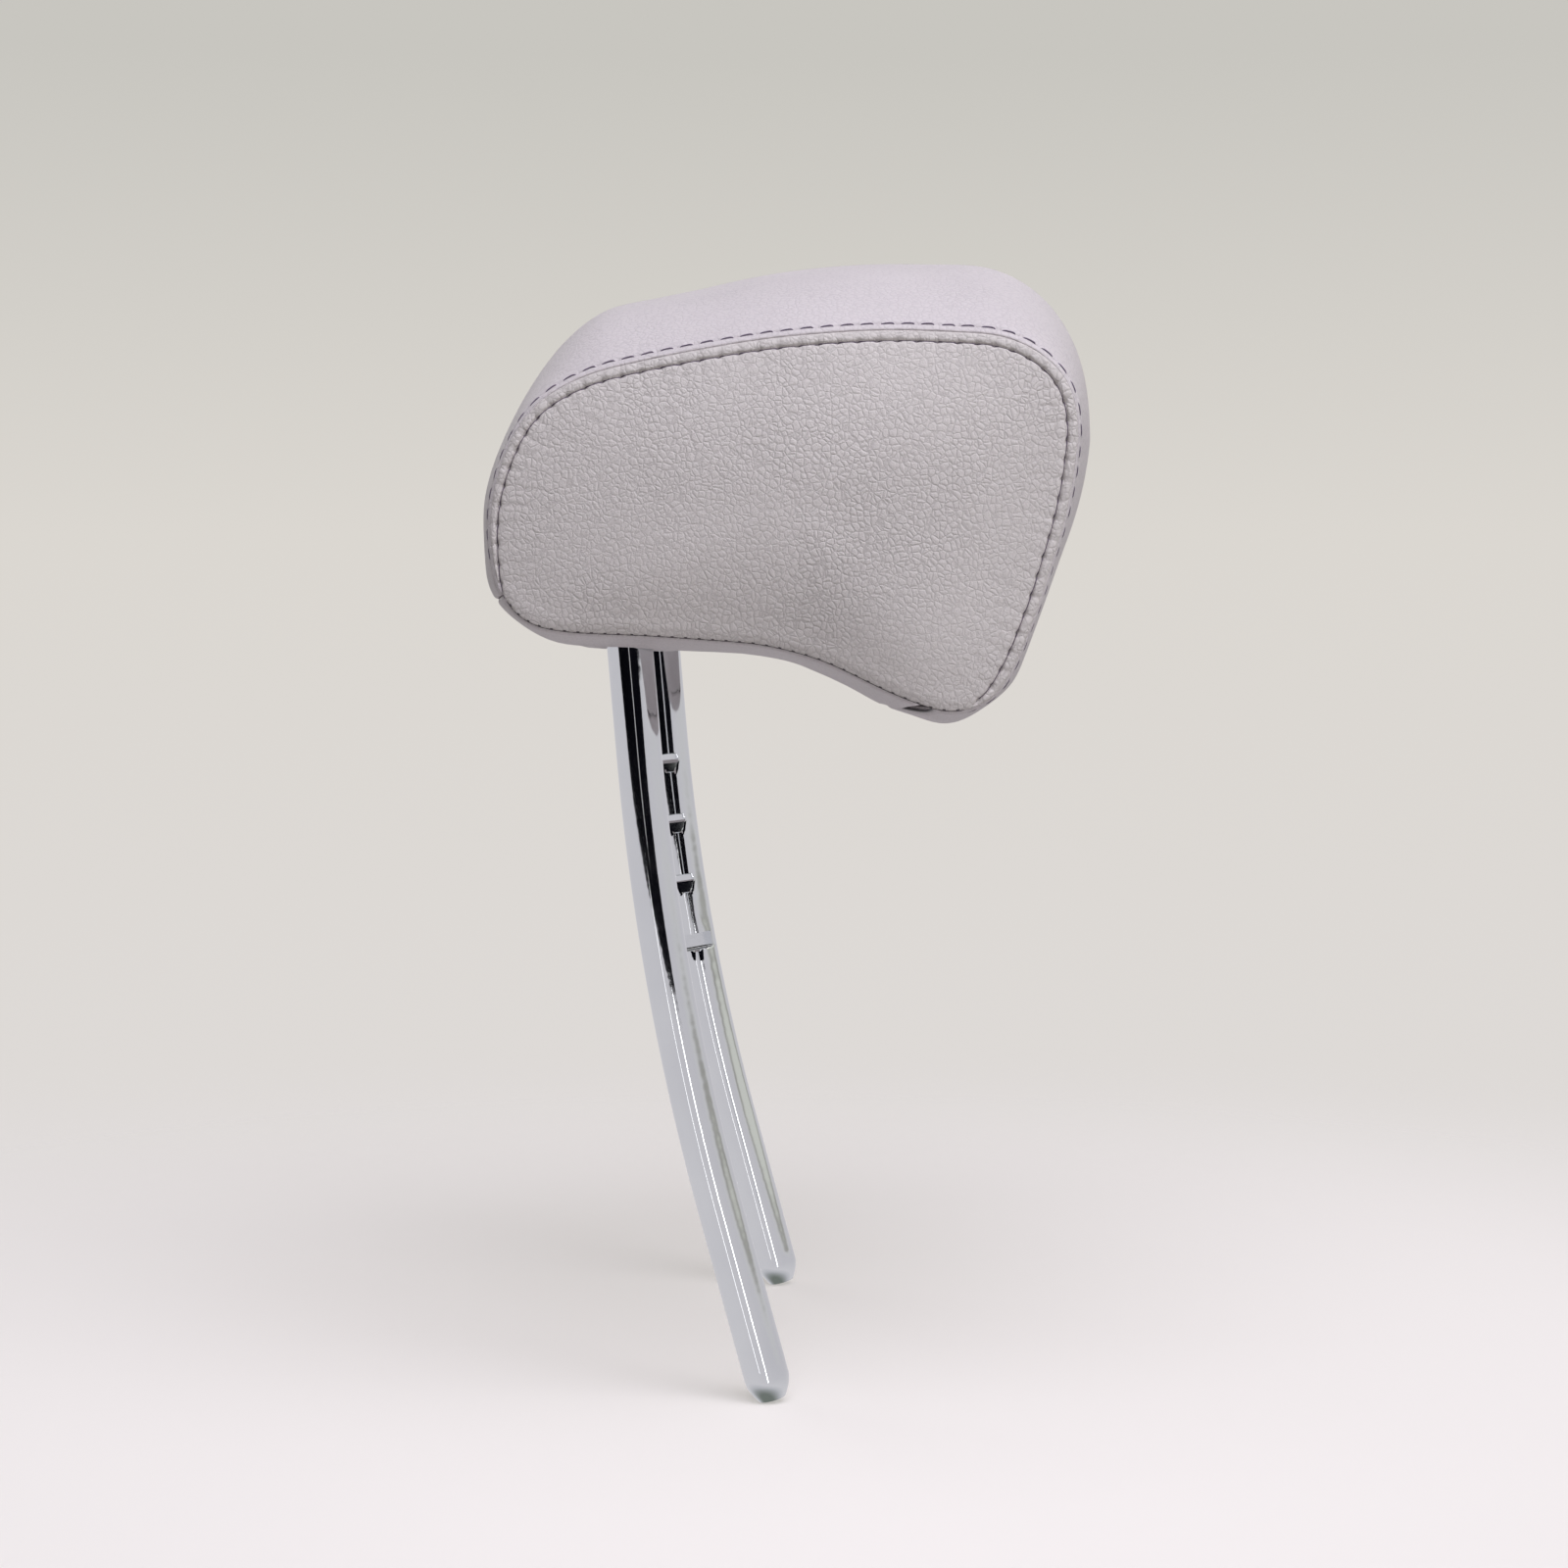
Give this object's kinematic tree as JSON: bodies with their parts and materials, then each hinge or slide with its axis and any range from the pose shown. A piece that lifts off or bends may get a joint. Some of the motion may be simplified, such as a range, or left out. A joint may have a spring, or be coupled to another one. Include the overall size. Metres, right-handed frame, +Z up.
{
  "type": "car headrest",
  "caption": "Padded car seat headrest: topstitched leather cover over foam on a bent bar whose chromed posts slide into the seat back, with latch notches for height.",
  "frame": {"origin": "midway between the centres of the flat ends of the two posts", "axes": "+Z up, -Y towards the occupant's head, +X across the seat back, towards the notched post"},
  "size_m": [0.25, 0.1763, 0.3295],
  "materials": {
    "post_chrome": "mirror chrome plate",
    "side_leather": "pebbled grain, satin, pale warm grey",
    "band_leather": "fine pebbled grain, satin, pale lilac grey",
    "pad_foam": "open-cell foam",
    "core_plastic": "moulded, satin",
    "strip_plastic": "extruded, satin",
    "screw_steel": "zinc plated"
  },
  "bodies": {
    "root": {"post_bar": "post_chrome", "core_front_shell": "core_plastic", "core_rear_shell": "core_plastic", "core_screw_1": "screw_steel", "core_screw_2": "screw_steel", "core_screw_3": "screw_steel", "core_screw_4": "screw_steel", "foam_body": "pad_foam", "closure_strip_band": "strip_plastic", "closure_strip_underside": "strip_plastic", "cover_side_left": "side_leather", "cover_side_right": "side_leather", "cover_band": "band_leather", "cover_underside": "band_leather"}
  },
  "joints": []
}
